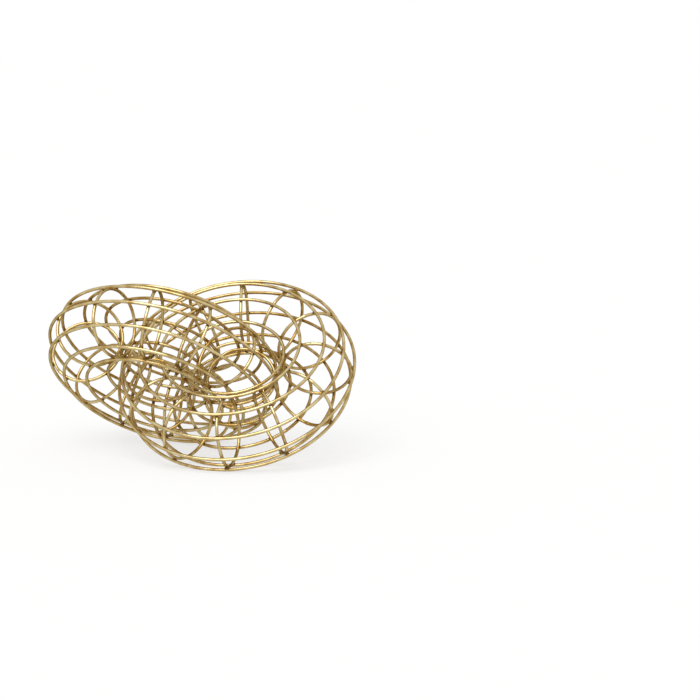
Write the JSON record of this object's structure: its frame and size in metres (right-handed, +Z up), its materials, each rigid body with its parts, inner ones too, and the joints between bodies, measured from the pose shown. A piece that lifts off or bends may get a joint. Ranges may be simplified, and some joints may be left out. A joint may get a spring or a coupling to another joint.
{
  "type": "chain sculpture",
  "caption": "Tabletop sculpture of interlocked open chain links, each a ring-shaped cage of round wire hoops and ribs in antique brass, leaning through each other.",
  "frame": {"origin": "on the table, under the middle of the sculpture's box", "axes": "+X to the right along the chain, +Y away from the viewer, +Z up from the table"},
  "size_m": [0.3108, 0.2326, 0.1774],
  "materials": {
    "left_link_wire": "satin antique brass, darker at the brazed crossings",
    "right_link_wire": "satin antique brass, darker at the brazed crossings"
  },
  "bodies": {
    "left_link": {"left_link_hoop_01": "left_link_wire", "left_link_hoop_02": "left_link_wire", "left_link_hoop_03": "left_link_wire", "left_link_hoop_04": "left_link_wire", "left_link_hoop_05": "left_link_wire", "left_link_hoop_06": "left_link_wire", "left_link_hoop_07": "left_link_wire", "left_link_hoop_08": "left_link_wire", "left_link_hoop_09": "left_link_wire", "left_link_hoop_10": "left_link_wire", "left_link_rib_01": "left_link_wire", "left_link_rib_02": "left_link_wire", "left_link_rib_03": "left_link_wire", "left_link_rib_04": "left_link_wire", "left_link_rib_05": "left_link_wire", "left_link_rib_06": "left_link_wire", "left_link_rib_07": "left_link_wire", "left_link_rib_08": "left_link_wire", "left_link_rib_09": "left_link_wire", "left_link_rib_10": "left_link_wire", "left_link_rib_11": "left_link_wire", "left_link_rib_12": "left_link_wire"},
    "right_link": {"right_link_hoop_01": "right_link_wire", "right_link_hoop_02": "right_link_wire", "right_link_hoop_03": "right_link_wire", "right_link_hoop_04": "right_link_wire", "right_link_hoop_05": "right_link_wire", "right_link_hoop_06": "right_link_wire", "right_link_hoop_07": "right_link_wire", "right_link_hoop_08": "right_link_wire", "right_link_hoop_09": "right_link_wire", "right_link_hoop_10": "right_link_wire", "right_link_rib_01": "right_link_wire", "right_link_rib_02": "right_link_wire", "right_link_rib_03": "right_link_wire", "right_link_rib_04": "right_link_wire", "right_link_rib_05": "right_link_wire", "right_link_rib_06": "right_link_wire", "right_link_rib_07": "right_link_wire", "right_link_rib_08": "right_link_wire", "right_link_rib_09": "right_link_wire", "right_link_rib_10": "right_link_wire", "right_link_rib_11": "right_link_wire", "right_link_rib_12": "right_link_wire"}
  },
  "joints": [
    {"name": "right_link_turn", "type": "hinge", "parent": "left_link", "child": "right_link", "pos_m": [0.03652, -0.0109, 0.08455], "axis": [-0.1333, -0.5739, 0.808], "continuous": true}
  ]
}
